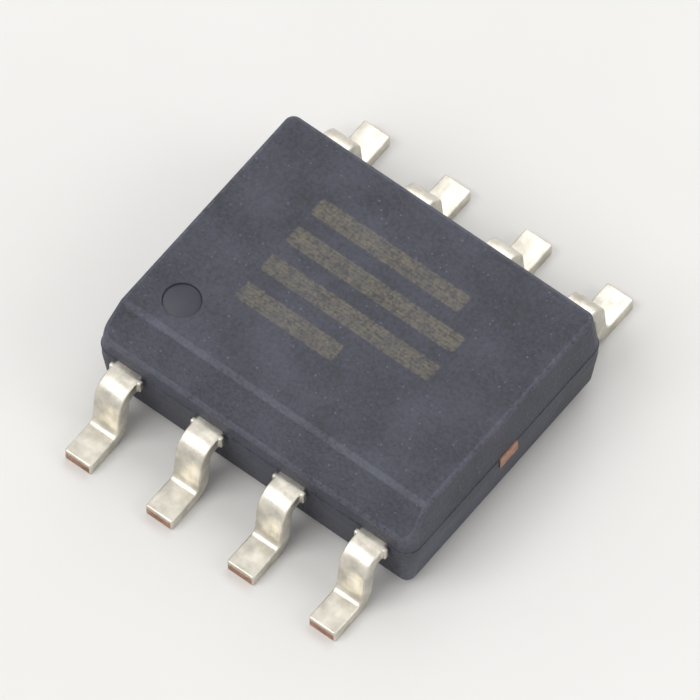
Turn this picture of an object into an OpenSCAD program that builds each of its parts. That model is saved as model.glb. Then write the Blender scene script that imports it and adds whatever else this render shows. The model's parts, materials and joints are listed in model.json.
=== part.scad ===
// Eight-lead small-outline package with a 1.27 mm lead pitch, built from its real
// pieces: a drafted moulded body, eight gull-wing leads with the inner fingers that
// the body holds, the die paddle and its tie bars, the die attach, the die, and one
// bond wire from the die to each lead.
//
// The origin is the centre of the footprint on the seating plane. X runs along the
// rows of leads, Y across them and Z up. Leads 1 to 4 are on the -Y side, from -X to
// +X, and leads 5 to 8 are on the +Y side, from +X back to -X.

/* [Body] */
// Length of the moulded body along the rows of leads, at the parting line
body_length = 4.90; // [4.80:0.05:5.20]
// Width of the moulded body across the rows of leads, at the parting line
body_width = 3.90; // [3.80:0.05:4.00]
// Thickness of the moulded body
body_thickness = 1.45; // [1.35:0.05:1.55]
// Height of the body's underside above the seating plane
standoff = 0.15; // [0.10:0.05:0.25]
// Draft of each wall away from the parting line, in degrees
draft_angle = 7; // [4:1:10]
// Radius of the four upright corners at the parting line
corner_radius = 0.20; // [0.18:0.01:0.30]
// Radius along the top and bottom edges
edge_radius = 0.05; // [0.03:0.01:0.06]
// Width of the 45 degree chamfer along the top edge over leads 1 to 4
chamfer_width = 0.35; // [0.25:0.05:0.45]

/* [Moulding marks] */
// Diameter of the index dimple near lead 1
dimple_diameter = 0.50; // [0.40:0.05:0.70]
// Depth of the index dimple
dimple_depth = 0.04; // [0.02:0.01:0.08]
// Distance from the dimple's centre to the end of the top face
dimple_end_inset = 0.60; // [0.50:0.05:0.90]
// Distance from the dimple's centre to the chamfer
dimple_side_inset = 0.45; // [0.40:0.05:0.70]
// Diameter of the two ejector pin marks on the underside
ejector_diameter = 0.90; // [0.60:0.05:1.10]
// Depth of the ejector pin marks
ejector_depth = 0.03; // [0.02:0.01:0.05]
// Distance between the centres of the ejector pin marks
ejector_spacing = 2.60; // [2.00:0.10:3.00]

/* [Leads] */
// Distance between neighbouring leads
lead_pitch = 1.27; // [1.25:0.01:1.29]
// Overall width from the toes of one row to the toes of the other
lead_span = 6.00; // [5.90:0.05:6.20]
// Width of a lead
lead_width = 0.41; // [0.31:0.01:0.51]
// Thickness of the lead frame sheet
sheet_thickness = 0.20; // [0.17:0.01:0.25]
// Length of the level shoulder between the body and the upper bend
shoulder_length = 0.16; // [0.14:0.01:0.22]
// Inside radius of both bends in a lead
bend_radius = 0.10; // [0.08:0.01:0.12]
// Lean of the riser away from upright, in degrees
riser_lean = 6; // [2:1:12]
// How far the trimmed dam bar stands out on each side of a lead
dam_bar_stub = 0.04; // [0.02:0.01:0.08]
// Length of the dam bar's stub along the lead
dam_bar_length = 0.08; // [0.05:0.01:0.10]
// Gap between the body and the dam bar's stub
dam_bar_gap = 0.03; // [0.01:0.01:0.04]

/* [Inner fingers] */
// Gap between the die paddle and each finger
finger_gap = 0.20; // [0.15:0.01:0.25]
// Length of full-width lead inside the body's wall
neck_length = 0.35; // [0.30:0.05:0.40]
// Width of the tips of the two middle fingers in each row
tip_width = 0.70; // [0.65:0.05:0.80]
// Width of the end fingers where they pass beside the paddle
end_finger_width = 0.36; // [0.30:0.02:0.40]
// Distance from the package's middle line to the tips of the end fingers
end_finger_reach = 0.55; // [0.45:0.05:0.65]
// How far the locking ear stands out of an end finger
lock_ear = 0.12; // [0.08:0.02:0.14]
// Length of the locking ear
lock_ear_length = 0.25; // [0.20:0.05:0.35]
// Diameter of the hole through which the compound locks a finger
lock_hole_diameter = 0.16; // [0.12:0.02:0.18]
// Distance from the body's side to the centre of the locking hole
lock_hole_inset = 0.25; // [0.20:0.05:0.30]

/* [Die paddle] */
// Length of the paddle along the rows of leads
paddle_length = 3.00; // [2.60:0.10:3.10]
// Width of the paddle
paddle_width = 2.10; // [1.80:0.10:2.20]
// Drop of the paddle below the fingers
paddle_downset = 0.25; // [0.22:0.01:0.30]
// Width of the two tie bars that held the paddle in the lead frame
tie_bar_width = 0.35; // [0.25:0.05:0.45]
// Length of the level part of a tie bar before it climbs
tie_bar_foot = 0.12; // [0.10:0.02:0.20]
// Angle at which a tie bar climbs, in degrees
tie_bar_climb = 45; // [35:5:55]
// How far the sheared end of a tie bar stands out of the body
tie_bar_proud = 0.02; // [0.01:0.01:0.05]

/* [Die and wires] */
// Length of the die along the rows of leads
die_length = 1.90; // [1.80:0.10:2.20]
// Width of the die
die_width = 1.50; // [1.40:0.10:1.70]
// Thickness of the die
die_thickness = 0.28; // [0.20:0.02:0.32]
// Thickness of the die attach under the die
attach_thickness = 0.025; // [0.015:0.005:0.04]
// How far the die attach shows around the die
attach_margin = 0.08; // [0.04:0.02:0.12]
// Distance between neighbouring bond pads on the die
pad_pitch = 0.50; // [0.40:0.05:0.55]
// Distance from the centre of a bond pad to the die's edge
pad_inset = 0.10; // [0.08:0.01:0.15]
// Diameter of the bond wire
wire_diameter = 0.030; // [0.025:0.005:0.04]
// Diameter of the squashed ball on a bond pad
ball_diameter = 0.080; // [0.07:0.005:0.09]
// Height of the squashed ball
ball_height = 0.020; // [0.015:0.005:0.03]
// Height above the die at which a wire starts to turn over
loop_rise = 0.12; // [0.10:0.01:0.16]
// Radius at which a wire turns over
loop_radius = 0.08; // [0.06:0.01:0.10]
// Diameter of the stitch that ends a wire on its finger
stitch_diameter = 0.090; // [0.08:0.005:0.11]
// Height of the stitch
stitch_height = 0.012; // [0.01:0.001:0.015]
// Distance from the centre of a stitch to the tip of its finger
stitch_inset = 0.12; // [0.08:0.01:0.15]

/* [Hidden] */
$fn = 48;
ROW = 4; // leads in a row
EDGE_STEPS = 4; // flats that make up a rounded top or bottom edge
BEND_STEPS = 10; // flats that make up a bend in a lead
TURN_STEPS = 6; // straight pieces that make up the turn of a wire
WIRE_SIDES = 10; // sides of a wire
MARGIN = 0.1; // how far a cutting tool passes the surface that it cuts

lead_numbers = [1:2 * ROW];

// Heights above the seating plane
body_top = standoff + body_thickness;
parting_z = standoff + body_thickness / 2;
finger_top = parting_z + sheet_thickness / 2;
paddle_z = parting_z - paddle_downset;
paddle_top = paddle_z + sheet_thickness / 2;
die_bottom = paddle_top + attach_thickness;
die_top = die_bottom + die_thickness;

// The drafted walls, above and below the upright band that the leads come out of
wall_height = (body_thickness - sheet_thickness) / 2;
wall_inset = wall_height * tan(draft_angle);
edge_run = edge_radius * tan((90 - draft_angle) / 2);
top_half_length = body_length / 2 - wall_inset;
top_half_width = body_width / 2 - wall_inset;
chamfer_y = chamfer_width - top_half_width;

// The centres of a lead's two bends, in its side view: the riser is tangent to both
// bends, and the foot takes up what is left of the span
outer_radius = bend_radius + sheet_thickness;
bends_apart = bend_radius + outer_radius;
bends_drop = finger_top - 2 * outer_radius;
bends_reach = (bends_apart + bends_drop * sin(riser_lean)) / cos(riser_lean);
upper_centre = [body_width / 2 + shoulder_length, finger_top - outer_radius];
lower_centre = upper_centre + [bends_reach, -bends_drop];
dam_bar_start = body_width / 2 + dam_bar_gap;
dam_bar_end = dam_bar_start + dam_bar_length;

// The inner fingers, measured outwards from the package's centre
neck_end = body_width / 2 - neck_length;
lock_hole_y = body_width / 2 - lock_hole_inset;
middle_tip = paddle_width / 2 + finger_gap;
end_finger_x = paddle_length / 2 + finger_gap;

// Place of lead n along its row, with its own row turned to face +Y
function row_place(n) = ((n - 1) % ROW - (ROW - 1) / 2) * -lead_pitch;

// The end leads have the wide finger, and the middle leads the short one
function is_end(n) = (n - 1) % ROW == 0 || (n - 1) % ROW == ROW - 1;

// Points on an arc, in the given number of equal steps
function arc(centre, radius, from, to, steps) = [
    for (i = [0:steps])
        let (a = from + (to - from) * i / steps)
        centre + radius * [cos(a), sin(a)]
];

// Turns a row on the -Y side to face +Y, where every lead and wire is drawn
module row_side(n) {
    rotate([0, 0, n <= ROW ? 180 : 0]) children();
}

// ---- Moulded body ----

// Half of a section through the body, from its middle out to a wall at the given
// distance, which is upright at the parting line and drafted above and below it
module half_section(reach) {
    edge_x = reach - wall_inset - edge_run;
    polygon(concat(
        [[0, 0]],
        arc([edge_x, edge_radius], edge_radius, -90, -draft_angle, EDGE_STEPS),
        [[reach, wall_height]],
        [[reach, wall_height + sheet_thickness]],
        arc([edge_x, body_thickness - edge_radius], edge_radius, draft_angle, 90, EDGE_STEPS),
        [[0, body_thickness]]
    ));
}

// The body between two opposite walls, with its middle at the origin
module between_walls(wall_to_wall, wall_length) {
    translate([0, wall_length / 2, 0])
        rotate([90, 0, 0])
            linear_extrude(wall_length)
                for (side = [0, 1])
                    mirror([side, 0]) half_section(wall_to_wall / 2);
}

// The body before the chamfer, the marks and the buried pieces are taken out of it
module body_blank() {
    corner_x = body_length / 2 - corner_radius;
    corner_y = body_width / 2 - corner_radius;
    between_walls(body_length, 2 * corner_y);
    rotate([0, 0, 90]) between_walls(body_width, 2 * corner_x);
    for (x = [-corner_x, corner_x], y = [-corner_y, corner_y])
        translate([x, y, 0])
            rotate_extrude() half_section(corner_radius);
}

// Wedge that cuts the chamfer over leads 1 to 4
module chamfer_cut() {
    reach = 2 * chamfer_width;
    translate([-body_length / 2 - MARGIN, chamfer_y, body_top])
        rotate([90, 0, 90])
            linear_extrude(body_length + 2 * MARGIN)
                polygon([[MARGIN, MARGIN], [-reach, MARGIN], [-reach, -reach]]);
}

// Dimple that marks lead 1
module index_dimple() {
    translate([dimple_end_inset - top_half_length, chamfer_y + dimple_side_inset, body_top - dimple_depth])
        cylinder(h = dimple_depth + MARGIN, d = dimple_diameter);
}

// Marks that the ejector pins leave on the underside
module ejector_marks() {
    for (x = [-0.5, 0.5] * ejector_spacing)
        translate([x, 0, standoff - MARGIN])
            cylinder(h = ejector_depth + MARGIN, d = ejector_diameter);
}

// The body fills all the room around the pieces that it holds
module mould_body() {
    color("#26262b")
        difference() {
            translate([0, 0, standoff]) body_blank();
            chamfer_cut();
            index_dimple();
            ejector_marks();
            for (n = lead_numbers) {
                lead(n);
                bond_wire(n);
            }
            die_paddle();
            die_attach();
            silicon_die();
        }
}

// ---- Leads ----

// Side view of a gull wing, from the body's side out along Y to the toe
module gull_wing_section() {
    polygon(concat(
        [[body_width / 2, finger_top]],
        arc(upper_centre, outer_radius, 90, riser_lean, BEND_STEPS),
        arc(lower_centre, bend_radius, 180 + riser_lean, 270, BEND_STEPS),
        [[lead_span / 2, sheet_thickness], [lead_span / 2, 0]],
        arc(lower_centre, outer_radius, 270, 180 + riser_lean, BEND_STEPS),
        arc(upper_centre, bend_radius, riser_lean, 90, BEND_STEPS),
        [[body_width / 2, finger_top - sheet_thickness]]
    ));
}

// Gull wing of a lead at place x
module gull_wing(x) {
    translate([x - lead_width / 2, 0, 0])
        rotate([90, 0, 90])
            linear_extrude(lead_width) gull_wing_section();
}

// Outline of a middle lead at place x, from its widened tip to the dam bar
module middle_finger(x) {
    flare = (tip_width - lead_width) / 2;
    translate([x, 0])
        polygon([
            [-tip_width / 2, middle_tip],
            [tip_width / 2, middle_tip],
            [tip_width / 2, neck_end - flare],
            [lead_width / 2, neck_end],
            [lead_width / 2, dam_bar_end],
            [-lead_width / 2, dam_bar_end],
            [-lead_width / 2, neck_end],
            [-tip_width / 2, neck_end - flare]
        ]);
}

// Outline of an end lead at place x, with an ear that locks it in the compound and
// a finger that passes beside the paddle
module end_finger(x) {
    inner = x - lead_width / 2;
    outer = x + lead_width / 2;
    tip_outer = end_finger_x + end_finger_width;
    ear_top = neck_end - lock_ear;
    ear_bottom = ear_top - lock_ear_length;
    polygon([
        [inner, dam_bar_end],
        [inner, neck_end],
        [end_finger_x, ear_bottom],
        [end_finger_x, end_finger_reach],
        [tip_outer, end_finger_reach],
        [tip_outer, ear_bottom - lock_ear],
        [outer + lock_ear, ear_bottom],
        [outer + lock_ear, ear_top],
        [outer, neck_end],
        [outer, dam_bar_end]
    ]);
}

// Plan of the flat part of lead n, with the trimmed dam bar and the locking hole
module flat_plan(n) {
    x = abs(row_place(n));
    stub_width = lead_width + 2 * dam_bar_stub;
    difference() {
        union() {
            if (is_end(n)) end_finger(x);
            else middle_finger(x);
            translate([x - stub_width / 2, dam_bar_start])
                square([stub_width, dam_bar_length]);
        }
        translate([x, lock_hole_y]) circle(d = lock_hole_diameter);
    }
}

// Lead n: the flat part that starts in the body, and the gull wing outside it
module lead(n) {
    color("#d8d5cc")
        row_side(n)
            mirror([row_place(n) < 0 ? 1 : 0, 0, 0]) {
                translate([0, 0, finger_top - sheet_thickness])
                    linear_extrude(sheet_thickness) flat_plan(n);
                gull_wing(abs(row_place(n)));
            }
}

// ---- Die paddle and die ----

// Side view of a tie bar from the middle of the paddle: level, up the slope, and out
// through the end of the body at the height of the fingers
module tie_bar_section() {
    half = sheet_thickness / 2;
    mitre = half * tan(tie_bar_climb / 2);
    slope_start = paddle_length / 2 + tie_bar_foot;
    slope_end = slope_start + paddle_downset / tan(tie_bar_climb);
    bar_end = body_length / 2 + tie_bar_proud;
    polygon([
        [0, paddle_z - half],
        [slope_start + mitre, paddle_z - half],
        [slope_end + mitre, parting_z - half],
        [bar_end, parting_z - half],
        [bar_end, parting_z + half],
        [slope_end - mitre, parting_z + half],
        [slope_start - mitre, paddle_z + half],
        [0, paddle_z + half]
    ]);
}

// Paddle that carries the die, with its two tie bars
module die_paddle() {
    color("#b87f58") {
        translate([-paddle_length / 2, -paddle_width / 2, paddle_z - sheet_thickness / 2])
            cube([paddle_length, paddle_width, sheet_thickness]);
        for (side = [0, 180])
            rotate([0, 0, side])
                translate([0, tie_bar_width / 2, 0])
                    rotate([90, 0, 0])
                        linear_extrude(tie_bar_width) tie_bar_section();
    }
}

// Layer of silver-filled epoxy under the die
module die_attach() {
    size = [die_length, die_width] + 2 * attach_margin * [1, 1];
    color("#a9a9a4")
        translate([-size.x / 2, -size.y / 2, paddle_top])
            cube([size.x, size.y, attach_thickness]);
}

// Sawn silicon die
module silicon_die() {
    color("#5c6470")
        translate([-die_length / 2, -die_width / 2, die_bottom])
            cube([die_length, die_width, die_thickness]);
}

// ---- Bond wires ----

// Bond pad and stitch of wire n, with its row turned to face +Y
function pad_place(n) = [row_place(n) / lead_pitch * pad_pitch, die_width / 2 - pad_inset];
function stitch_place(n) = is_end(n)
    ? [sign(row_place(n)) * (end_finger_x + end_finger_width / 2), end_finger_reach + stitch_inset]
    : [row_place(n), middle_tip + stitch_inset];

// Middle line of a wire in its own upright plane: up from the ball, a turn over, and a
// straight run down to the stitch, which is span away from the ball and drop below it
function wire_line(span, drop) =
    let (
        turn_centre = [loop_radius, loop_rise],
        to_stitch = [span, -drop] - turn_centre,
        run_slope = atan2(-to_stitch.y, to_stitch.x) + asin(loop_radius / norm(to_stitch))
    )
    concat(
        [[0, ball_height / 2]],
        arc(turn_centre, loop_radius, 180, 90 - run_slope, TURN_STEPS),
        [[span, -drop]]
    );

// Direction from point i of a line to the next
function heading(line, i) = (line[i + 1] - line[i]) / norm(line[i + 1] - line[i]);

// Offset to the left of point i of a line, for 1 of width: square to the line at its
// start, mitred at its corners, and level at its end, where the wire meets the finger
function left_offset(line, i) =
    let (
        last = len(line) - 1,
        before = heading(line, max(i - 1, 0)),
        after = heading(line, min(i, last - 1)),
        corner = [-before.y - after.y, before.x + after.x]
    )
    i == last ? [1 / abs(before.y), 0] : corner * 2 / (corner * corner);

// A round wire along a line that lies in the XZ plane
module wire_along(line) {
    rings = len(line);
    radius = wire_diameter / 2;
    points = [
        for (i = [0:rings - 1], side = [0:WIRE_SIDES - 1])
            let (
                a = 360 * side / WIRE_SIDES,
                place = line[i] + left_offset(line, i) * radius * cos(a)
            )
            [place.x, radius * sin(a), place.y]
    ];
    walls = [
        for (i = [0:rings - 2], side = [0:WIRE_SIDES - 1])
            let (
                next = (side + 1) % WIRE_SIDES,
                here = i * WIRE_SIDES,
                there = here + WIRE_SIDES
            )
            [here + side, here + next, there + next, there + side]
    ];
    start_cap = [for (side = [1:WIRE_SIDES]) WIRE_SIDES - side];
    end_cap = [for (side = [0:WIRE_SIDES - 1]) (rings - 1) * WIRE_SIDES + side];
    polyhedron(points, concat([start_cap], walls, [end_cap]));
}

// Wire n: a squashed ball on its pad with a cone over it, the wire, and a stitch
module bond_wire(n) {
    route = stitch_place(n) - pad_place(n);
    span = norm(route);
    drop = die_top - finger_top;
    color("#e0b040")
        row_side(n)
            translate([pad_place(n).x, pad_place(n).y, die_top])
                rotate([0, 0, atan2(route.y, route.x)]) {
                    cylinder(h = ball_height, d = ball_diameter);
                    cylinder(h = 2 * ball_height, d1 = ball_diameter, d2 = wire_diameter / 2);
                    wire_along(wire_line(span, drop));
                    translate([span, 0, -drop])
                        cylinder(h = stitch_height, d = stitch_diameter);
                }
}

mould_body();
for (n = lead_numbers)
    lead(n);
die_paddle();
die_attach();
silicon_die();
for (n = lead_numbers)
    bond_wire(n);
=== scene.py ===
import json
import math

import bmesh
import bpy
from mathutils import Matrix, Vector, noise

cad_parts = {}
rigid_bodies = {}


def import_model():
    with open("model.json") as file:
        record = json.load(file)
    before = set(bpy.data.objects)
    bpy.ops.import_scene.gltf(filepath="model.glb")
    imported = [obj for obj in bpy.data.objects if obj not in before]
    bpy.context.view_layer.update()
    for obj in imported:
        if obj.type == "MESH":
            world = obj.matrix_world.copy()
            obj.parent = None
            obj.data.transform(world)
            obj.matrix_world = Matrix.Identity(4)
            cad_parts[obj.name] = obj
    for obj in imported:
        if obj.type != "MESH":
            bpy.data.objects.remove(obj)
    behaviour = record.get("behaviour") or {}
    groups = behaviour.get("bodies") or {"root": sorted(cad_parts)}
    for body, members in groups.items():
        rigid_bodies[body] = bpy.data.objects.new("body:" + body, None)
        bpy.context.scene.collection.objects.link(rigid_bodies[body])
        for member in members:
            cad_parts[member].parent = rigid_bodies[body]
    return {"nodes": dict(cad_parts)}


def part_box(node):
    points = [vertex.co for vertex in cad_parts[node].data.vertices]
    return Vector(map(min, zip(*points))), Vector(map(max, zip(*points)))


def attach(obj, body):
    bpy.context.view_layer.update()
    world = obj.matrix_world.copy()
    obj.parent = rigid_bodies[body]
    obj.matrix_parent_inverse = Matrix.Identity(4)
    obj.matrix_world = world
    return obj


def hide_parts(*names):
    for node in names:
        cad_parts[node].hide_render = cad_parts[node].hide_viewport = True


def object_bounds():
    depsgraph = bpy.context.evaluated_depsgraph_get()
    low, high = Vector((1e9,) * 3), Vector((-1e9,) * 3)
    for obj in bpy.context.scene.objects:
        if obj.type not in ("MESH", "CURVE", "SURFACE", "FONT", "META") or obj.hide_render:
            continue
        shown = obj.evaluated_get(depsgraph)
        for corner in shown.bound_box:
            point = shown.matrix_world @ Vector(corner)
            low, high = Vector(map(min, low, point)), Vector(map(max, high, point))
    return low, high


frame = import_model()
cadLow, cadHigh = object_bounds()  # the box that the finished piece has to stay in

# lengths are in millimetres, apart from the studio's, and pieces become metres when they are finished
mm = 0.001
seam = 0.0003  # mm, points closer than this are merged
nearly = 0.001  # mm, places closer than this count as the same
onPlane = 1e-6  # mm, points this close to a cutting plane lie on it
level = 0.99  # a face lies level when its normal points at least this much up or down
cutAngle = 50  # degrees, edges sharper than this are left by a cut
flatWeight = 80  # of the larger faces in the shading, so that they look flat
leadNumbers = range(1, 9)


def boxInMm(node):
    low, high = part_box(node)
    return low / mm, high / mm


def linear(hexColour):
    channels = [int(hexColour[i:i + 2], 16) / 255 for i in (1, 3, 5)]
    return [c / 12.92 if c <= 0.04045 else ((c + 0.055) / 1.055) ** 2.4 for c in channels] + [1.0]


def addNode(tree, kind, settings, inputs):
    # a value that is a socket is linked, a hex colour is made linear, and the rest is set; a Mix node
    # of colours takes them at 6 and 7 and gives them out at 2
    made = tree.nodes.new(kind)
    for name, value in settings.items():
        setattr(made, name, value)
    for key, value in inputs.items():
        if isinstance(value, bpy.types.NodeSocket):
            tree.links.new(value, made.inputs[key])
        elif isinstance(value, str):
            made.inputs[key].default_value = linear(value)
        else:
            made.inputs[key].default_value = value
    return made


def newMaterial(name):
    material = bpy.data.materials.new(name)
    material.use_nodes = True
    material.node_tree.nodes.clear()
    return material, material.node_tree


def closedMesh(bm, name, materials):
    # from millimetres to metres, with its doubles merged and its faces pointing outwards
    bmesh.ops.remove_doubles(bm, verts=bm.verts, dist=seam)
    bmesh.ops.recalc_face_normals(bm, faces=bm.faces)
    bmesh.ops.scale(bm, vec=(mm, mm, mm), verts=bm.verts)
    mesh = bpy.data.meshes.new(name)
    bm.to_mesh(mesh)
    bm.free()
    mesh.shade_smooth()
    for material in materials:
        mesh.materials.append(material)
    return mesh


def combine(mesh, operation, others):
    # a Boolean modifier over a group of meshes, applied at once, with the edges that it cuts kept
    # sharp; it uses up the meshes that it is given
    base = bpy.data.objects.new("base", mesh)
    group = bpy.data.collections.new("others")
    for other in others:
        group.objects.link(bpy.data.objects.new("other", other))
    bpy.context.scene.collection.objects.link(base)
    bpy.context.scene.collection.children.link(group)
    join = base.modifiers.new("combine", "BOOLEAN")
    join.operation = operation
    join.solver = "MANIFOLD"
    join.operand_type = "COLLECTION"
    join.collection = group
    graph = bpy.context.evaluated_depsgraph_get()
    combined = bpy.data.meshes.new_from_object(base.evaluated_get(graph), preserve_all_data_layers=True,
                                               depsgraph=graph)
    for used in group.objects[:] + [base]:
        spent = used.data
        bpy.data.objects.remove(used)
        bpy.data.meshes.remove(spent)
    bpy.data.collections.remove(group)
    bm = bmesh.new()
    bm.from_mesh(combined)
    bmesh.ops.remove_doubles(bm, verts=bm.verts, dist=seam * mm)
    sharp = set(sharpEdges(bm.edges, cutAngle))
    for edge in bm.edges:
        edge.smooth = edge not in sharp
    bm.to_mesh(combined)
    bm.free()
    return combined


def finishPiece(mesh, name, node):
    mesh.name = name
    piece = bpy.data.objects.new(name, mesh)
    bpy.context.scene.collection.objects.link(piece)
    flats = piece.modifiers.new("keepFlatsFlat", "WEIGHTED_NORMAL")
    flats.mode = "FACE_AREA"
    flats.weight = flatWeight
    flats.keep_sharp = True
    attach(piece, "root")
    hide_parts(node)
    return piece


def sharpEdges(edges, angle):
    return [e for e in edges if len(e.link_faces) == 2 and e.calc_face_angle() > math.radians(angle)]


def openEdges(geometry):
    return [g for g in geometry if isinstance(g, bmesh.types.BMEdge) and g.is_boundary]


def vertsOf(geometry):
    return [g for g in geometry if isinstance(g, bmesh.types.BMVert)]


def edgesOf(elements, member):
    # each edge once, in the order in which they come
    return list(dict.fromkeys(e for element in elements for e in getattr(element, member)))


def facesAtY(bm, y):
    return [f for f in bm.faces if all(abs(v.co.y - y) < nearly for v in f.verts)]


laserMark = {  # plain rows in the middle of the top face, in millimetres
    "left": -1.30, "firstRow": 1.00, "rowPitch": 0.50, "height": 0.27, "corner": 0.05,
    "lengths": [2.3, 2.6, 2.6, 1.5], "strengths": [0.62, 0.59, 0.56, 0.53],
    "blur": 0.016,
    "linePitch": 0.05,  # the laser's own lines are about 0.04 mm apart, too fine to show
    "patch": 0.14,
    "topLayer": 0.02,   # only what lies this close under the top is marked
    "colour": "#89816a",
}
waveLength = math.pi / 10  # of a wave texture at scale 1


def makeMarkMask(tree, place, topHeight, grain):
    # the mark's strength: 0 off its rows, and uneven on them
    flat = addNode(tree, "ShaderNodeVectorMath", {"operation": "MULTIPLY"},
                   {0: place, 1: (1, 1, 0)}).outputs[0]
    total = None
    corner = laserMark["corner"]
    for row, (length, strength) in enumerate(zip(laserMark["lengths"], laserMark["strengths"])):
        middle = (laserMark["left"] + length / 2, laserMark["firstRow"] - row * laserMark["rowPitch"])
        reach = (length / 2 - corner, laserMark["height"] / 2 - corner)
        away = addNode(tree, "ShaderNodeVectorMath", {"operation": "SUBTRACT"},
                       {0: flat, 1: (middle[0] * mm, middle[1] * mm, 0)})
        away = addNode(tree, "ShaderNodeVectorMath", {"operation": "ABSOLUTE"}, {0: away.outputs[0]})
        away = addNode(tree, "ShaderNodeVectorMath", {"operation": "SUBTRACT"},
                       {0: away.outputs[0], 1: (reach[0] * mm, reach[1] * mm, 0)})
        away = addNode(tree, "ShaderNodeVectorMath", {"operation": "MAXIMUM"},
                       {0: away.outputs[0], 1: (0, 0, 0)})
        away = addNode(tree, "ShaderNodeVectorMath", {"operation": "LENGTH"}, {0: away.outputs[0]})
        field = addNode(tree, "ShaderNodeMapRange", {},
                        {"Value": away.outputs["Value"], "From Min": (corner + laserMark["blur"]) * mm,
                         "From Max": (corner - laserMark["blur"]) * mm, "To Max": strength})
        total = field.outputs[0] if total is None else addNode(
            tree, "ShaderNodeMath", {"operation": "MAXIMUM"}, {0: total, 1: field.outputs[0]}).outputs[0]
    height = addNode(tree, "ShaderNodeSeparateXYZ", {}, {0: place})
    onTop = addNode(tree, "ShaderNodeMath", {"operation": "GREATER_THAN"},
                    {0: height.outputs["Z"], 1: (topHeight - laserMark["topLayer"]) * mm})
    lines = addNode(tree, "ShaderNodeTexWave", {"bands_direction": "Y"},
                    {"Vector": place, "Scale": waveLength / (laserMark["linePitch"] * mm),
                     "Distortion": 0.6, "Detail": 1.0, "Detail Scale": 2.0})
    lines = addNode(tree, "ShaderNodeMapRange", {},
                    {"Value": lines.outputs["Fac"], "To Min": 0.72, "To Max": 1.0})
    # the mark takes unevenly, because the beam finds more filler in one place than in the next
    patches = addNode(tree, "ShaderNodeTexNoise", {},
                      {"Vector": place, "Scale": 1 / (laserMark["patch"] * mm),
                       "Detail": 5.0, "Roughness": 0.7})
    patches = addNode(tree, "ShaderNodeMapRange", {},
                      {"Value": patches.outputs["Fac"], "From Min": 0.36, "From Max": 0.60, "To Min": 0.45})
    peaks = addNode(tree, "ShaderNodeMapRange", {},
                    {"Value": grain, "From Min": 0.38, "From Max": 0.56, "To Min": 0.35})
    for factor in (onTop.outputs[0], lines.outputs[0], patches.outputs[0], peaks.outputs[0]):
        total = addNode(tree, "ShaderNodeMath", {"operation": "MULTIPLY"}, {0: total, 1: factor}).outputs[0]
    return total


epoxySkin = {
    "dark": "#1d1e25", "light": "#4b4d5b", "filler": "#6c6e7a", "rubbed": "#585a67",
    "grain": 0.045,        # mm, skin left by a spark-eroded mould
    "grainHeight": 0.018,
    "mottle": 0.85,        # mm, resin-rich and filler-rich areas
    "fillerSpacing": 0.09, "fillerShare": 0.19,
}


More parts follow.
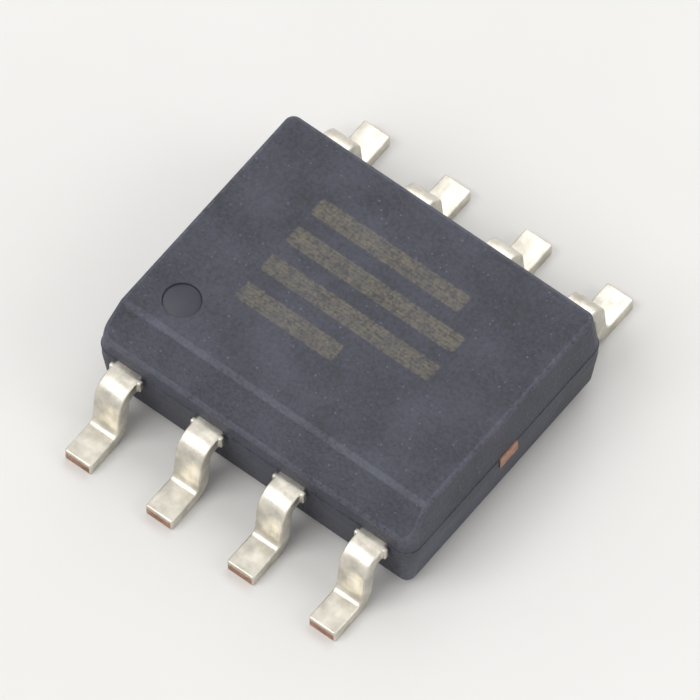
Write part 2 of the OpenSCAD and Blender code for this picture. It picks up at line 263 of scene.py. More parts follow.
def makeEpoxySkin(topHeight):
    # epoxy moulding compound, transfer moulded in a spark-eroded cavity and cured: a dry, fine
    # grained near-black skin with faint mottling, paler where edges have rubbed in the tube
    material, tree = newMaterial("blackEpoxyMouldedMatt")
    place = addNode(tree, "ShaderNodeTexCoord", {}, {}).outputs["Object"]
    mottle = addNode(tree, "ShaderNodeTexNoise", {},
                     {"Vector": place, "Scale": 1 / (epoxySkin["mottle"] * mm),
                      "Detail": 3.0, "Roughness": 0.55})
    grain = addNode(tree, "ShaderNodeTexNoise", {},
                    {"Vector": place, "Scale": 1 / (epoxySkin["grain"] * mm),
                     "Detail": 3.0, "Roughness": 0.6})
    specks = addNode(tree, "ShaderNodeTexVoronoi", {},
                     {"Vector": place, "Scale": 1 / (epoxySkin["fillerSpacing"] * mm), "Randomness": 1.0})
    speckSize = addNode(tree, "ShaderNodeMath", {"operation": "MULTIPLY_ADD"},
                        {0: specks.outputs["Color"], 1: -epoxySkin["fillerShare"],
                         2: specks.outputs["Distance"]})
    speckle = addNode(tree, "ShaderNodeMapRange", {},
                      {"Value": speckSize.outputs[0], "From Min": 0.04, "From Max": -0.06, "To Max": 0.6})
    mottleFactor = addNode(tree, "ShaderNodeMapRange", {},
                           {"Value": mottle.outputs["Fac"], "From Min": 0.35, "From Max": 0.68})
    skinFactor = addNode(tree, "ShaderNodeMapRange", {},
                         {"Value": grain.outputs["Fac"], "From Min": 0.3, "From Max": 0.7, "To Max": 0.6})
    skinFactor = addNode(tree, "ShaderNodeMath", {"operation": "MULTIPLY_ADD"},
                         {0: mottleFactor.outputs[0], 1: 0.4, 2: skinFactor.outputs[0]})
    base = addNode(tree, "ShaderNodeMix", {"data_type": "RGBA"},
                   {0: skinFactor.outputs[0], 6: epoxySkin["dark"], 7: epoxySkin["light"]})
    base = addNode(tree, "ShaderNodeMix", {"data_type": "RGBA"},
                   {0: speckle.outputs[0], 6: base.outputs[2], 7: epoxySkin["filler"]})
    edge = addNode(tree, "ShaderNodeAttribute", {"attribute_name": "rubbed"}, {})
    edgeFactor = addNode(tree, "ShaderNodeMath", {"operation": "MULTIPLY"},
                         {0: edge.outputs["Fac"], 1: skinFactor.outputs[0]})
    base = addNode(tree, "ShaderNodeMix", {"data_type": "RGBA"},
                   {0: edgeFactor.outputs[0], 6: base.outputs[2], 7: epoxySkin["rubbed"]})
    mark = makeMarkMask(tree, place, topHeight, grain.outputs["Fac"])
    base = addNode(tree, "ShaderNodeMix", {"data_type": "RGBA"},
                   {0: mark, 6: base.outputs[2], 7: laserMark["colour"]})
    rough = addNode(tree, "ShaderNodeMapRange", {},
                    {"Value": grain.outputs["Fac"], "From Min": 0.3, "From Max": 0.7,
                     "To Min": 0.50, "To Max": 0.66})
    rough = addNode(tree, "ShaderNodeMath", {"operation": "MULTIPLY_ADD"},
                    {0: mark, 1: 0.25, 2: rough.outputs[0]})
    bump = addNode(tree, "ShaderNodeBump", {},
                   {"Strength": 1.0, "Distance": epoxySkin["grainHeight"] * mm,
                    "Height": grain.outputs["Fac"]})
    shader = addNode(tree, "ShaderNodeBsdfPrincipled", {},
                     {"Base Color": base.outputs[2], "Roughness": rough.outputs[0], "IOR": 1.52,
                      "Normal": bump.outputs[0]})
    addNode(tree, "ShaderNodeOutputMaterial", {}, {"Surface": shader.outputs[0]})
    return material


epoxyPin = {"dark": "#22232d", "light": "#313342", "turning": 0.05, "turningHeight": 0.001, "cloud": 0.3}


def makeEpoxyPolished():
    # the same compound against a turned steel pin: smoother and a little shiny
    material, tree = newMaterial("blackEpoxyMouldedSmooth")
    place = addNode(tree, "ShaderNodeTexCoord", {}, {}).outputs["Object"]
    cloud = addNode(tree, "ShaderNodeTexNoise", {},
                    {"Vector": place, "Scale": 1 / (epoxyPin["cloud"] * mm),
                     "Detail": 3.0, "Roughness": 0.5})
    base = addNode(tree, "ShaderNodeMix", {"data_type": "RGBA"},
                   {0: cloud.outputs["Fac"], 6: epoxyPin["dark"], 7: epoxyPin["light"]})
    fine = addNode(tree, "ShaderNodeTexNoise", {},
                   {"Vector": place, "Scale": 1 / (epoxyPin["turning"] * mm), "Detail": 2.0})
    rough = addNode(tree, "ShaderNodeMapRange", {},
                    {"Value": fine.outputs["Fac"], "To Min": 0.32, "To Max": 0.48})
    bump = addNode(tree, "ShaderNodeBump", {},
                   {"Strength": 0.3, "Distance": epoxyPin["turningHeight"] * mm,
                    "Height": fine.outputs["Fac"]})
    shader = addNode(tree, "ShaderNodeBsdfPrincipled", {},
                     {"Base Color": base.outputs[2], "Roughness": rough.outputs[0], "IOR": 1.52,
                      "Normal": bump.outputs[0]})
    addNode(tree, "ShaderNodeOutputMaterial", {}, {"Surface": shader.outputs[0]})
    return material


tinPlate = {
    "light": "#e2ddd1", "dark": "#bdb8ad",
    "grain": 0.036,     # mm; the crystals are a few thousandths of a millimetre, too fine to show
    "grainHeight": 0.0022,
    "cloud": 0.24,      # mm, uneven plating
    "rubLength": 0.5, "rubWidth": 0.03,  # mm, streaks from the forming tool
}


def makeMatteTin():
    # matt tin, electroplated on copper alloy and then bent in a forming tool: a pale warm grey
    # satin with a fine crystal grain, cloudy in places, with streaks along the lead
    material, tree = newMaterial("matteTinPlated")
    place = addNode(tree, "ShaderNodeTexCoord", {}, {}).outputs["Object"]
    grain = addNode(tree, "ShaderNodeTexNoise", {},
                    {"Vector": place, "Scale": 1 / (tinPlate["grain"] * mm),
                     "Detail": 2.0, "Roughness": 0.6})
    cloud = addNode(tree, "ShaderNodeTexNoise", {},
                    {"Vector": place, "Scale": 1 / (tinPlate["cloud"] * mm),
                     "Detail": 3.0, "Roughness": 0.6})
    along = 1 / (tinPlate["rubLength"] * mm)
    stretch = addNode(tree, "ShaderNodeMapping", {},
                      {"Vector": place, "Scale": (1 / (tinPlate["rubWidth"] * mm), along, along)})
    rubs = addNode(tree, "ShaderNodeTexNoise", {},
                   {"Vector": stretch.outputs[0], "Scale": 1.0, "Detail": 3.0})
    mixFactor = addNode(tree, "ShaderNodeMapRange", {},
                        {"Value": cloud.outputs["Fac"], "From Min": 0.32, "From Max": 0.68})
    base = addNode(tree, "ShaderNodeMix", {"data_type": "RGBA"},
                   {0: mixFactor.outputs[0], 6: tinPlate["dark"], 7: tinPlate["light"]})
    rough = addNode(tree, "ShaderNodeMapRange", {},
                    {"Value": rubs.outputs["Fac"], "From Min": 0.3, "From Max": 0.7,
                     "To Min": 0.30, "To Max": 0.48})
    height = addNode(tree, "ShaderNodeMath", {"operation": "MULTIPLY_ADD"},
                     {0: rubs.outputs["Fac"], 1: 0.8, 2: grain.outputs["Fac"]})
    bump = addNode(tree, "ShaderNodeBump", {},
                   {"Strength": 0.8, "Distance": tinPlate["grainHeight"] * mm, "Height": height.outputs[0]})
    shader = addNode(tree, "ShaderNodeBsdfPrincipled", {},
                     {"Base Color": base.outputs[2], "Metallic": 1.0, "Roughness": rough.outputs[0],
                      "Normal": bump.outputs[0]})
    addNode(tree, "ShaderNodeOutputMaterial", {}, {"Surface": shader.outputs[0]})
    return material


cutCopper = {
    "clean": "#bf937b", "aged": "#8c6a59", "tinSmear": "#cfc9bc",
    "shearPitch": 0.02, "shearHeight": 0.002,  # mm, drag lines down a sheared face
    "drawnOut": 0.08,                          # their scale down the sheet, as a share of that across them
    "stain": 0.12,
    "smearFrom": 0.15, "smearTo": 0.20,        # mm above the board, where the tool wipes tin down the cut
    "smearRagged": 0.06,
}


def makeCutCopper(name, smeared):
    # copper alloy sheet sheared in a punch after plating: bare and reddish, with drag lines
    # through the sheet's thickness, and on a toe some tin wiped over its upper edge
    material, tree = newMaterial(name)
    place = addNode(tree, "ShaderNodeTexCoord", {}, {}).outputs["Object"]
    across = 1 / (cutCopper["shearPitch"] * mm)
    stretch = addNode(tree, "ShaderNodeMapping", {},
                      {"Vector": place, "Scale": (across, across, across * cutCopper["drawnOut"])})
    drag = addNode(tree, "ShaderNodeTexNoise", {},
                   {"Vector": stretch.outputs[0], "Scale": 1.0, "Detail": 2.0})
    stain = addNode(tree, "ShaderNodeTexNoise", {},
                    {"Vector": place, "Scale": 1 / (cutCopper["stain"] * mm), "Detail": 3.0})
    stainFactor = addNode(tree, "ShaderNodeMapRange", {},
                          {"Value": stain.outputs["Fac"], "From Min": 0.35, "From Max": 0.7})
    colour = addNode(tree, "ShaderNodeMix", {"data_type": "RGBA"},
                     {0: stainFactor.outputs[0], 6: cutCopper["clean"], 7: cutCopper["aged"]}).outputs[2]
    if smeared:
        height = addNode(tree, "ShaderNodeSeparateXYZ", {}, {0: place})
        ragged = addNode(tree, "ShaderNodeMath", {"operation": "MULTIPLY_ADD"},
                         {0: drag.outputs["Fac"], 1: cutCopper["smearRagged"] * mm,
                          2: height.outputs["Z"]})
        smear = addNode(tree, "ShaderNodeMapRange", {},
                        {"Value": ragged.outputs[0], "From Min": cutCopper["smearFrom"] * mm,
                         "From Max": cutCopper["smearTo"] * mm})
        colour = addNode(tree, "ShaderNodeMix", {"data_type": "RGBA"},
                         {0: smear.outputs[0], 6: colour, 7: cutCopper["tinSmear"]}).outputs[2]
    rough = addNode(tree, "ShaderNodeMapRange", {},
                    {"Value": drag.outputs["Fac"], "To Min": 0.34, "To Max": 0.6})
    bump = addNode(tree, "ShaderNodeBump", {},
                   {"Strength": 0.8, "Distance": cutCopper["shearHeight"] * mm,
                    "Height": drag.outputs["Fac"]})
    shader = addNode(tree, "ShaderNodeBsdfPrincipled", {},
                     {"Base Color": colour, "Metallic": 1.0, "Roughness": rough.outputs[0],
                      "Normal": bump.outputs[0]})
    addNode(tree, "ShaderNodeOutputMaterial", {}, {"Surface": shader.outputs[0]})
    return material


innerFinishes = {
    # epoxy filled with silver flake, dispensed and cured: grey, grainy and dull
    "silverEpoxyCured": {"dark": "#8d8d88", "light": "#bdbdb7", "grain": 0.02, "metallic": 0.35,
                         "roughness": (0.5, 0.7), "height": 0.002},
    # silicon wafer, polished and then sawn: dark blue-grey and glassy
    "siliconSawn": {"dark": "#3c424d", "light": "#5d6675", "grain": 0.012, "metallic": 0.6,
                    "roughness": (0.12, 0.28), "height": 0.0004},
    # gold, drawn to wire and balled by a spark: warm, clean and smooth
    "goldDrawnWire": {"dark": "#d99f2e", "light": "#f0c45c", "grain": 0.015, "metallic": 1.0,
                      "roughness": (0.16, 0.3), "height": 0.0003},
}


def makeInnerFinish(name):
    look = innerFinishes[name]
    material, tree = newMaterial(name)
    place = addNode(tree, "ShaderNodeTexCoord", {}, {}).outputs["Object"]
    grain = addNode(tree, "ShaderNodeTexNoise", {},
                    {"Vector": place, "Scale": 1 / (look["grain"] * mm),
                     "Detail": 3.0, "Roughness": 0.6})
    base = addNode(tree, "ShaderNodeMix", {"data_type": "RGBA"},
                   {0: grain.outputs["Fac"], 6: look["dark"], 7: look["light"]})
    rough = addNode(tree, "ShaderNodeMapRange", {},
                    {"Value": grain.outputs["Fac"], "To Min": look["roughness"][0],
                     "To Max": look["roughness"][1]})
    bump = addNode(tree, "ShaderNodeBump", {},
                   {"Strength": 0.6, "Distance": look["height"] * mm, "Height": grain.outputs["Fac"]})
    shader = addNode(tree, "ShaderNodeBsdfPrincipled", {},
                     {"Base Color": base.outputs[2], "Metallic": look["metallic"],
                      "Roughness": rough.outputs[0], "Normal": bump.outputs[0]})
    addNode(tree, "ShaderNodeOutputMaterial", {}, {"Surface": shader.outputs[0]})
    return material


bodyLow, bodyHigh = boxInMm("mould_body")
epoxyMatt = makeEpoxySkin(bodyHigh.z)
epoxySmooth = makeEpoxyPolished()
matteTin = makeMatteTin()
toeCopper = makeCutCopper("copperShearedToe", True)
frameCopper = makeCutCopper("copperStampedFrame", False)
print("finishes made:", len(bpy.data.materials))


mouldedBody = {
    "draft": 7.0,           # degrees off upright, above and below the band
    "band": 0.20,           # upright band that the leads come out of
    "cornerRadius": 0.20, "cornerSteps": 12,
    "edgeRadius": 0.044, "edgeSteps": 5,
    "edgeAngle": 25,        # degrees, sharper edges are rounded
    "chamferWidth": 0.35,
    "supportWidth": 0.012,  # narrow ring that keeps each flat face flat in shading
    "flatArea": 0.15,       # square millimetres, the least that counts as a flat face
    "flashProud": 0.009, "flashHeight": 0.010, "flashTaper": 0.001,
    "flashRoom": 0.03,      # edges nearer to the flash line than this stay sharp
}
bodyCentre = (bodyLow + bodyHigh) / 2
bodySize = bodyHigh - bodyLow
bandTop = bodyCentre.z + mouldedBody["band"] / 2
wallHeight = bodyHigh.z - bandTop
wallSlope = math.tan(math.radians(mouldedBody["draft"]))
wallInset = wallHeight * wallSlope


def raiseShell(bm):
    # outline at the top of the band with its corners rounded, then the upper half
    shape = mouldedBody
    bmesh.ops.create_grid(bm, x_segments=1, y_segments=1, size=0.5)
    bmesh.ops.scale(bm, vec=(bodySize.x, bodySize.y, 1), verts=bm.verts)
    bmesh.ops.translate(bm, vec=(bodyCentre.x, bodyCentre.y, bandTop), verts=bm.verts)
    bmesh.ops.bevel(bm, geom=bm.verts[:], offset=shape["cornerRadius"], offset_type="OFFSET",
                    affect="VERTICES", segments=shape["cornerSteps"], profile=0.5, material=-1)
    bmesh.ops.inset_region(bm, faces=bm.faces[:], thickness=wallInset, depth=wallHeight,
                           use_even_offset=True, use_boundary=True)
    # the flash line, the band and the lower half
    outline = [e for e in bm.edges if e.is_boundary]
    for drop in (shape["flashHeight"], shape["band"] - shape["flashHeight"]):
        made = bmesh.ops.extrude_edge_only(bm, edges=outline)["geom"]
        bmesh.ops.translate(bm, vec=(0, 0, -drop), verts=vertsOf(made))
        outline = openEdges(made)
    bottom = bmesh.ops.edgeloop_fill(bm, edges=outline)["faces"]
    bmesh.ops.recalc_face_normals(bm, faces=bm.faces)
    bmesh.ops.inset_region(bm, faces=bottom, thickness=wallInset, depth=wallHeight, use_even_offset=True)


def cutChamfer(bm):
    # along the top edge over leads 1 to 4, at 45 degrees
    start = Vector((0, bodyLow.y + wallInset + mouldedBody["chamferWidth"], bodyHigh.z))
    cut = bmesh.ops.bisect_plane(bm, geom=bm.verts[:] + bm.edges[:] + bm.faces[:], dist=onPlane,
                                 plane_co=start, plane_no=(0, -1, 1), clear_outer=True)
    bmesh.ops.edgeloop_fill(bm, edges=[g for g in cut["geom_cut"] if isinstance(g, bmesh.types.BMEdge)])
    bmesh.ops.recalc_face_normals(bm, faces=bm.faces)


def raiseFlash(bm):
    # thin line of flash where the two halves of the mould met
    middle = bandTop - mouldedBody["flashHeight"] / 2
    strip = [f for f in bm.faces
             if abs(f.normal.z) < nearly and abs(f.calc_center_median().z - middle) < nearly]
    bmesh.ops.inset_region(bm, faces=strip, thickness=mouldedBody["flashTaper"],
                           depth=mouldedBody["flashProud"], use_even_offset=True)


def roundEdges(bm, isRounded):
    shape = mouldedBody
    sharp = [e for e in sharpEdges(bm.edges, shape["edgeAngle"])
             if abs(e.verts[0].co.z - bandTop) > shape["flashRoom"]]
    rounded = bmesh.ops.bevel(bm, geom=sharp, offset=shape["edgeRadius"], offset_type="OFFSET",
                              affect="EDGES", segments=shape["edgeSteps"], profile=0.5, material=-1)
    for face in rounded["faces"]:
        face[isRounded] = 1
    flats = [f for f in bm.faces if f.calc_area() > shape["flatArea"]]
    bmesh.ops.inset_individual(bm, faces=flats, thickness=shape["supportWidth"], use_even_offset=True)


roundRecess = {
    "steps": 64, "ring": 0.03,
    "wallLean": 0.3, "lip": 0.25,  # shares of the depth
    "lipSteps": 3, "lipAngle": 23,
}
indexDimple = {"radius": 0.25, "depth": 0.04, "endInset": 0.60, "sideInset": 0.45}
ejectorMarks = {"radius": 0.45, "depth": 0.03, "spacing": 2.60}


def sinkRecess(bm, centre, radius, depth, up):
    # its rim, wall and floor are one profile spun about the middle; gives back the rim's outer edges
    recess = roundRecess
    path = [(radius + recess["ring"], 0), (radius, 0), (radius - recess["wallLean"] * depth, -depth * up),
            (0, -depth * up)]
    points = [bm.verts.new(centre + Vector((out, 0, rise))) for out, rise in path]
    lines = [bm.edges.new(pair) for pair in zip(points, points[1:])]
    before = set(bm.faces)
    bmesh.ops.spin(bm, geom=points + lines, cent=centre, axis=(0, 0, 1), angle=math.tau,
                   steps=recess["steps"], use_merge=True, use_duplicate=False)
    fresh = dict.fromkeys(v for f in bm.faces if f not in before for v in f.verts)
    bmesh.ops.remove_doubles(bm, verts=list(fresh), dist=seam)
    dish = [f for f in bm.faces if f not in before]
    bmesh.ops.recalc_face_normals(bm, faces=dish)
    if (dish[0].normal.z > 0) != (up > 0):
        bmesh.ops.reverse_faces(bm, faces=dish)
    edges = edgesOf(dish, "edges")
    rim = [e for e in edges if e.is_boundary]
    lips = sharpEdges(edges, recess["lipAngle"])
    bmesh.ops.bevel(bm, geom=lips, offset=recess["lip"] * depth, offset_type="OFFSET", affect="EDGES",
                    segments=recess["lipSteps"], profile=0.5, material=-1)
    # given only now, because the bevel takes either neighbour's finish for the lip between two
    for face in bm.faces:
        if (face.calc_center_median() - centre).length < radius:
            face.material_index = 1
    return rim


def openFace(bm, up):
    # takes out the widest level face and gives back its edges, so that it can be filled round a recess
    face = max((f for f in bm.faces if f.normal.z * up > level), key=lambda f: f.calc_area())
    edges = face.edges[:]
    bmesh.ops.delete(bm, geom=[face], context="FACES_ONLY")
    return edges


def sinkRecesses(bm):
    # the index dimple by lead 1, and two ejector marks underneath
    topEdges, baseEdges = openFace(bm, 1), openFace(bm, -1)
    dimple = Vector((bodyLow.x + wallInset + indexDimple["endInset"],
                     bodyLow.y + wallInset + mouldedBody["chamferWidth"] + indexDimple["sideInset"],
                     bodyHigh.z))
    topEdges += sinkRecess(bm, dimple, indexDimple["radius"], indexDimple["depth"], 1)
    for side in (-0.5, 0.5):
        pin = Vector((side * ejectorMarks["spacing"], 0, bodyLow.z))
        baseEdges += sinkRecess(bm, pin, ejectorMarks["radius"], ejectorMarks["depth"], -1)
    bmesh.ops.triangle_fill(bm, edges=topEdges, use_beauty=True, normal=(0, 0, 1))
    bmesh.ops.triangle_fill(bm, edges=baseEdges, use_beauty=True, normal=(0, 0, -1))


gateScar = {
    "y": 0.95, "z": 0.685, "width": 0.70, "height": 0.16, "proud": 0.021, "steps": (28, 7),
    "falls": (8, 4),                          # how steeply it runs down to the wall, along y and z
    "sunk": 0.004, "root": 0.03,              # its rim lies inside the wall, and its root further in
    "coarse": (14, 0.7), "fine": (40, 0.25),  # bumps in a millimetre, and their share of the height
    "usual": 0.6, "least": 0.2, "most": 1.2,  # shares of the height
    "paler": 1.8,                             # broken epoxy is paler than a rubbed edge
}


def makeGateScar():
    # rough stub where the runner broke off below the parting line, on the -X end
    scar = gateScar
    bm = bmesh.new()
    rubbed = bm.verts.layers.float.new("rubbed")
    alongY, alongZ = scar["steps"]
    made = bmesh.ops.create_grid(bm, x_segments=alongY, y_segments=alongZ, size=0.5)["verts"]
    bmesh.ops.scale(bm, vec=(scar["width"], scar["height"], 1), verts=made)
    bmesh.ops.rotate(bm, cent=(0, 0, 0), matrix=Matrix(((0, 0, -1), (1, 0, 0), (0, 1, 0))), verts=made)
    bmesh.ops.translate(bm, vec=(0, scar["y"], scar["z"]), verts=made)
    for vert in made:
        wall = bodyLow.x + max(0, bandTop - mouldedBody["band"] - vert.co.z) * wallSlope
        # full height in the middle, running down to the wall at the sides
        inside = min(1, scar["falls"][0] * (0.5 - abs(vert.co.y - scar["y"]) / scar["width"]),
                     scar["falls"][1] * (0.5 - abs(vert.co.z - scar["z"]) / scar["height"]))
        broken = scar["usual"]
        for pitch, share in (scar["coarse"], scar["fine"]):
            broken += share * noise.noise(vert.co * pitch)
        broken = max(scar["least"], min(scar["most"], broken))
        vert.co.x = wall + scar["sunk"] - inside * scar["proud"] * broken
    border = openEdges(edgesOf(made, "link_edges"))
    skirt = bmesh.ops.extrude_edge_only(bm, edges=border)["geom"]
    bmesh.ops.translate(bm, vec=(scar["root"], 0, 0), verts=vertsOf(skirt))
    bmesh.ops.edgeloop_fill(bm, edges=openEdges(skirt))
    for vert in bm.verts:
        vert[rubbed] = scar["paler"]
    return closedMesh(bm, "gateScar", [epoxyMatt])


def makeBodyShell():
    bm = bmesh.new()
    isRounded = bm.faces.layers.int.new("isRounded")
    rubbed = bm.verts.layers.float.new("rubbed")
    raiseShell(bm)
    cutChamfer(bm)
    raiseFlash(bm)
    roundEdges(bm, isRounded)
    sinkRecesses(bm)
    for vert in bm.verts:
        vert[rubbed] = 1.0 if any(f[isRounded] for f in vert.link_faces) else 0.0
    return closedMesh(bm, "bodyShell", [epoxyMatt, epoxySmooth])


bodyShell, scarStub = makeBodyShell(), makeGateScar()
print("body shell and gate scar made")


gullWing = {
    "width": 0.41, "sheet": 0.20, "shoulder": 0.16, "bendRadius": 0.10, "lean": 6.0, "bendSteps": 14,
    "stampedRadius": 0.022, "stampedSteps": 3, "stampedAngle": 30,  # degrees, sharper edges are rounded
    "stub": 0.04, "stubGap": 0.03, "stubLength": 0.08,  # trimmed dam bar
}
innerFinger = {"neck": 0.35, "ear": 0.12, "earLength": 0.25, "endWidth": 0.36}
lockHole = {"radius": 0.08, "inset": 0.25, "steps": 32, "drillLength": 0.80}  # inset from the body's side
endLeads = (1, 4, 5, 8)
insideLow, insideHigh = boxInMm("lead_6")  # the middle lead on the +X, +Y quarter
leadPitch = insideLow.x + insideHigh.x


def leadOutline(isEnd, x, low, high):
    # plan of the flat part, from the finger's tip to the outer side of the trimmed dam bar
    shape, finger = gullWing, innerFinger
    half, neckEnd = shape["width"] / 2, bodyHigh.y - finger["neck"]
    stubStart = bodyHigh.y + shape["stubGap"]
    stubEnd = stubStart + shape["stubLength"]
    outside = [(half, stubStart), (half + shape["stub"], stubStart), (half + shape["stub"], stubEnd),
               (half, stubEnd)]
    right = [(x + dx, y) for dx, y in outside]
    left = [(x - dx, y) for dx, y in reversed(outside)]
    if isEnd:
        earTop = neckEnd - finger["ear"]
        earBottom = earTop - finger["earLength"]
        inner = x - half  # the piece's box starts further in, at the dam bar's stub
        tipOuter = inner + finger["endWidth"]
        fingerRight = [(inner, low.y), (tipOuter, low.y), (tipOuter, earBottom - finger["ear"]),
                       (high.x, earBottom), (high.x, earTop), (x + half, neckEnd)]
        fingerLeft = []
    else:
        flare = (high.x - low.x) / 2 - half
        fingerRight = [(low.x, low.y), (high.x, low.y), (high.x, neckEnd - flare), (x + half, neckEnd)]
        fingerLeft = [(x - half, neckEnd), (low.x, neckEnd - flare)]
    return fingerRight + right + left + fingerLeft


def pullFace(bm, face, step):
    made = bmesh.ops.extrude_face_region(bm, geom=[face])["geom"]
    bmesh.ops.translate(bm, vec=step, verts=vertsOf(made))
    return next(g for g in made if isinstance(g, bmesh.types.BMFace))


def bendFace(bm, face, centre, angle):
    made = bmesh.ops.spin(bm, geom=[face], cent=centre, axis=(1, 0, 0), angle=math.radians(angle),
                          steps=gullWing["bendSteps"], use_duplicate=False)["geom_last"]
    return next(g for g in made if isinstance(g, bmesh.types.BMFace))


def formLead(bm, end, low, high):
    # shoulder, bend, riser, bend and foot, each drawn out of the face that the last one ended in
    shape = gullWing
    outer = shape["bendRadius"] + shape["sheet"]
    lean = math.radians(shape["lean"])
    drop = high.z - low.z - 2 * outer
    reach = (shape["bendRadius"] + outer + drop * math.sin(lean)) / math.cos(lean)
    upper = Vector((0, bodyHigh.y + shape["shoulder"], high.z - outer))
    lower = upper + Vector((0, reach, -drop))
    riser = math.sqrt(reach ** 2 + drop ** 2 - (shape["bendRadius"] + outer) ** 2)
    end = pullFace(bm, end, (0, upper.y - end.calc_center_median().y, 0))
    end = bendFace(bm, end, upper, shape["lean"] - 90)
    end = pullFace(bm, end, (0, riser * math.sin(lean), -riser * math.cos(lean)))
    end = bendFace(bm, end, lower, 90 - shape["lean"])
    pullFace(bm, end, (0, high.y - end.calc_center_median().y, 0))
    # the faces that each pull and bend started from are left inside the lead
    inside = [f for f in bm.faces if all(len(e.link_faces) > 2 for e in f.edges)]
    bmesh.ops.delete(bm, geom=inside, context="FACES_ONLY")


def lockDrill(x, side, height):
    # the hole in the neck, where the epoxy runs through and locks the lead
    bm = bmesh.new()
    bmesh.ops.create_cone(bm, cap_ends=True, segments=lockHole["steps"], radius1=lockHole["radius"],
                          radius2=lockHole["radius"], depth=lockHole["drillLength"])
    bmesh.ops.translate(bm, vec=(x, side * (bodyHigh.y - lockHole["inset"]), height), verts=bm.verts)
    return closedMesh(bm, "lockDrill", [matteTin])


def makeLead(number):
    node = f"lead_{number}"
    shape = gullWing
    nodeLow, nodeHigh = boxInMm(node)
    onFront, onLeft = nodeLow.y < 0, nodeLow.x < 0
    # every lead is drawn on the +X, +Y quarter and then turned to its own
    (lowX, highX), (lowY, highY) = (sorted((abs(nodeLow[i]), abs(nodeHigh[i]))) for i in (0, 1))
    low, high = Vector((lowX, lowY, nodeLow.z)), Vector((highX, highY, nodeHigh.z))
    isEnd = number in endLeads
    x = leadPitch * (1.5 if isEnd else 0.5)  # a row of four stands half a pitch off the middle
    bm = bmesh.new()
    flat = bm.faces.new([bm.verts.new((px, py, high.z)) for px, py in leadOutline(isEnd, x, low, high)])
    pullFace(bm, flat, (0, 0, -shape["sheet"]))
    bmesh.ops.recalc_face_normals(bm, faces=bm.faces)
    outerSide = facesAtY(bm, max(v.co.y for v in bm.verts))
    formLead(bm, max(outerSide, key=lambda f: f.calc_area()), low, high)
    bmesh.ops.recalc_face_normals(bm, faces=bm.faces)
    bmesh.ops.bevel(bm, geom=sharpEdges(bm.edges, shape["stampedAngle"]), offset=shape["stampedRadius"],
                    offset_type="OFFSET", affect="EDGES", segments=shape["stampedSteps"], profile=0.5,
                    material=-1)
    for face in facesAtY(bm, high.y):
        face.material_index = 1  # the toe is cut after plating
    if onLeft != onFront:
        bmesh.ops.scale(bm, vec=(-1, 1, 1), verts=bm.verts)
        bmesh.ops.reverse_faces(bm, faces=bm.faces)
    if onFront:
        bmesh.ops.rotate(bm, cent=(0, 0, 0), matrix=Matrix.Rotation(math.pi, 3, "Z"), verts=bm.verts)
    whole = closedMesh(bm, "wholeLead", [matteTin, toeCopper])
    drill = lockDrill(-x if onLeft else x, -1 if onFront else 1, high.z)
    return finishPiece(combine(whole, "DIFFERENCE", [drill]), f"lead{number}", node)


leads = [makeLead(number) for number in leadNumbers]
print("leads made")


pockets = {
    "inside": ["die_paddle", "die_attach", "silicon_die"] + [f"bond_wire_{number}" for number in leadNumbers],
    "seam": 1e-8,  # metres, fine enough for the thin wires
}


def pocketShape(piece):
    # a merged copy of the piece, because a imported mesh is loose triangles
    bm = bmesh.new()
    bm.from_mesh(piece.data)
    bmesh.ops.remove_doubles(bm, verts=bm.verts, dist=pockets["seam"])
    bmesh.ops.recalc_face_normals(bm, faces=bm.faces)
    for face in bm.faces:
        face.material_index = 0
    mesh = bpy.data.meshes.new("pocketShape")
    bm.to_mesh(mesh)
    bm.free()
    mesh.materials.append(epoxyMatt)
    return mesh


def makeMouldedBody():
    # the epoxy was moulded round its leads, paddle, die and wires, so each has a pocket of its own shape
    held = leads + [frame["nodes"][node] for node in pockets["inside"]]
    whole = combine(bodyShell, "UNION", [scarStub])
    hollow = combine(whole, "DIFFERENCE", [pocketShape(piece) for piece in held])
    return finishPiece(hollow, "mouldedBody", "mould_body")


makeMouldedBody()
print("moulded body made, with its pockets")


def dress(node, material):
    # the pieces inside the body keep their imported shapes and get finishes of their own
    for slot in frame["nodes"][node].material_slots:
        slot.material = material


dress("die_paddle", frameCopper)
dress("die_attach", makeInnerFinish("silverEpoxyCured"))
dress("silicon_die", makeInnerFinish("siliconSawn"))
gold = makeInnerFinish("goldDrawnWire")
for number in leadNumbers:
    dress(f"bond_wire_{number}", gold)
print("inner pieces dressed")


studio = {  # lengths in metres
    "floorDark": "#e6e5e2", "floorLight": "#ecebe9", "floorSize": 0.5, "floorMottle": 0.004,
    "light": ("#ffffff", 0.52), "backdrop": ("#fbfbfa", 0.93),  # colour and strength
    "azimuth": 38.0, "elevation": 60.0, "distance": 0.175, "frameWidth": 0.0086,
    "sensorWidth": 36.0,  # this one in millimetres
    "clip": (0.01, 2.0),
    "lamps": [  # name, azimuth, elevation, distance, size, watts
        ("softboxNear", -25.0, 52.0, 0.45, 0.30, 0.95),
        ("softboxFar", 190.0, 48.0, 0.45, 0.34, 0.60),
        ("softboxRight", 110.0, 35.0, 0.45, 0.25, 0.30),
    ],
}


def directionOf(azimuth, elevation):
    a, e = math.radians(azimuth), math.radians(elevation)
    return Vector((math.sin(a) * math.cos(e), -math.cos(a) * math.cos(e), math.sin(e)))


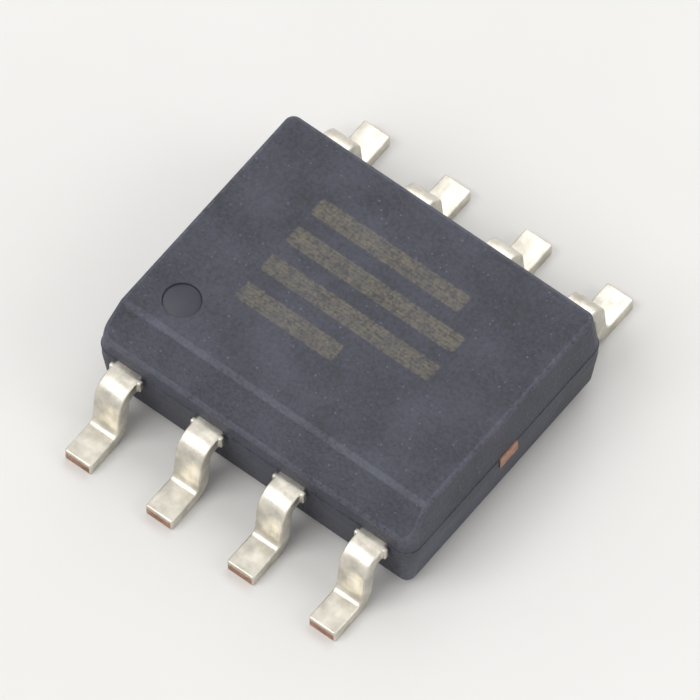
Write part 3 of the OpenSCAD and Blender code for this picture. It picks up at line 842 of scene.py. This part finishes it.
def makeFloor():
    # a pale painted board: matt, with the faintest mottling, seen through from below
    bm = bmesh.new()
    bmesh.ops.create_grid(bm, x_segments=1, y_segments=1, size=studio["floorSize"] / 2)
    mesh = bpy.data.meshes.new("floor")
    bm.to_mesh(mesh)
    bm.free()
    floor = bpy.data.objects.new("floor", mesh)
    bpy.context.scene.collection.objects.link(floor)
    material, tree = newMaterial("paintedBoardMatt")
    place = addNode(tree, "ShaderNodeTexCoord", {}, {}).outputs["Object"]
    mottle = addNode(tree, "ShaderNodeTexNoise", {},
                     {"Vector": place, "Scale": 1 / studio["floorMottle"], "Detail": 4.0})
    base = addNode(tree, "ShaderNodeMix", {"data_type": "RGBA"},
                   {0: mottle.outputs["Fac"], 6: studio["floorDark"], 7: studio["floorLight"]})
    paint = addNode(tree, "ShaderNodeBsdfPrincipled", {},
                    {"Base Color": base.outputs[2], "Roughness": 0.75, "Specular IOR Level": 0.2})
    clear = addNode(tree, "ShaderNodeBsdfTransparent", {}, {})
    fromBelow = addNode(tree, "ShaderNodeNewGeometry", {}, {}).outputs["Backfacing"]
    both = addNode(tree, "ShaderNodeMixShader", {}, {0: fromBelow, 1: paint.outputs[0], 2: clear.outputs[0]})
    addNode(tree, "ShaderNodeOutputMaterial", {}, {"Surface": both.outputs[0]})
    mesh.materials.append(material)


def makeWorld():
    # the light on things is dimmer than the backdrop that is seen, straight or mirrored
    world = bpy.data.worlds.new("softStudio")
    bpy.context.scene.world = world
    world.use_nodes = True
    tree = world.node_tree
    tree.nodes.clear()
    light, backdrop = (addNode(tree, "ShaderNodeBackground", {}, {"Color": colour, "Strength": strength})
                       for colour, strength in (studio["light"], studio["backdrop"]))
    path = addNode(tree, "ShaderNodeLightPath", {}, {})
    direct = path.outputs["Is Camera Ray"]
    for ray in ("Is Glossy Ray", "Is Transmission Ray"):
        direct = addNode(tree, "ShaderNodeMath", {"operation": "MAXIMUM"},
                         {0: direct, 1: path.outputs[ray]}).outputs[0]
    mixed = addNode(tree, "ShaderNodeMixShader", {},
                    {0: direct, 1: light.outputs[0], 2: backdrop.outputs[0]})
    addNode(tree, "ShaderNodeOutputWorld", {}, {"Surface": mixed.outputs[0]})


def makeLamps(aim):
    for name, azimuth, elevation, distance, size, watts in studio["lamps"]:
        data = bpy.data.lights.new(name, "AREA")
        data.shape, data.size, data.energy = "SQUARE", size, watts
        lamp = bpy.data.objects.new(name, data)
        back = directionOf(azimuth, elevation)
        lamp.location = aim + back * distance
        lamp.rotation_mode = "QUATERNION"
        lamp.rotation_quaternion = (-back).to_track_quat("-Z", "Y")
        bpy.context.scene.collection.objects.link(lamp)


def makeCamera(aim):
    data = bpy.data.cameras.new("camera")
    data.sensor_width = studio["sensorWidth"]
    data.lens = studio["sensorWidth"] * studio["distance"] / studio["frameWidth"]
    data.clip_start, data.clip_end = studio["clip"]
    camera = bpy.data.objects.new("camera", data)
    back = directionOf(studio["azimuth"], studio["elevation"])
    camera.location = aim + back * studio["distance"]
    camera.rotation_mode = "QUATERNION"
    camera.rotation_quaternion = (-back).to_track_quat("-Z", "Y")
    bpy.context.scene.collection.objects.link(camera)
    bpy.context.scene.camera = camera


aim = (cadLow + cadHigh) / 2
makeFloor()
makeWorld()
makeLamps(aim)
makeCamera(aim)
bpy.context.scene.view_settings.view_transform = "Standard"
print("studio made")
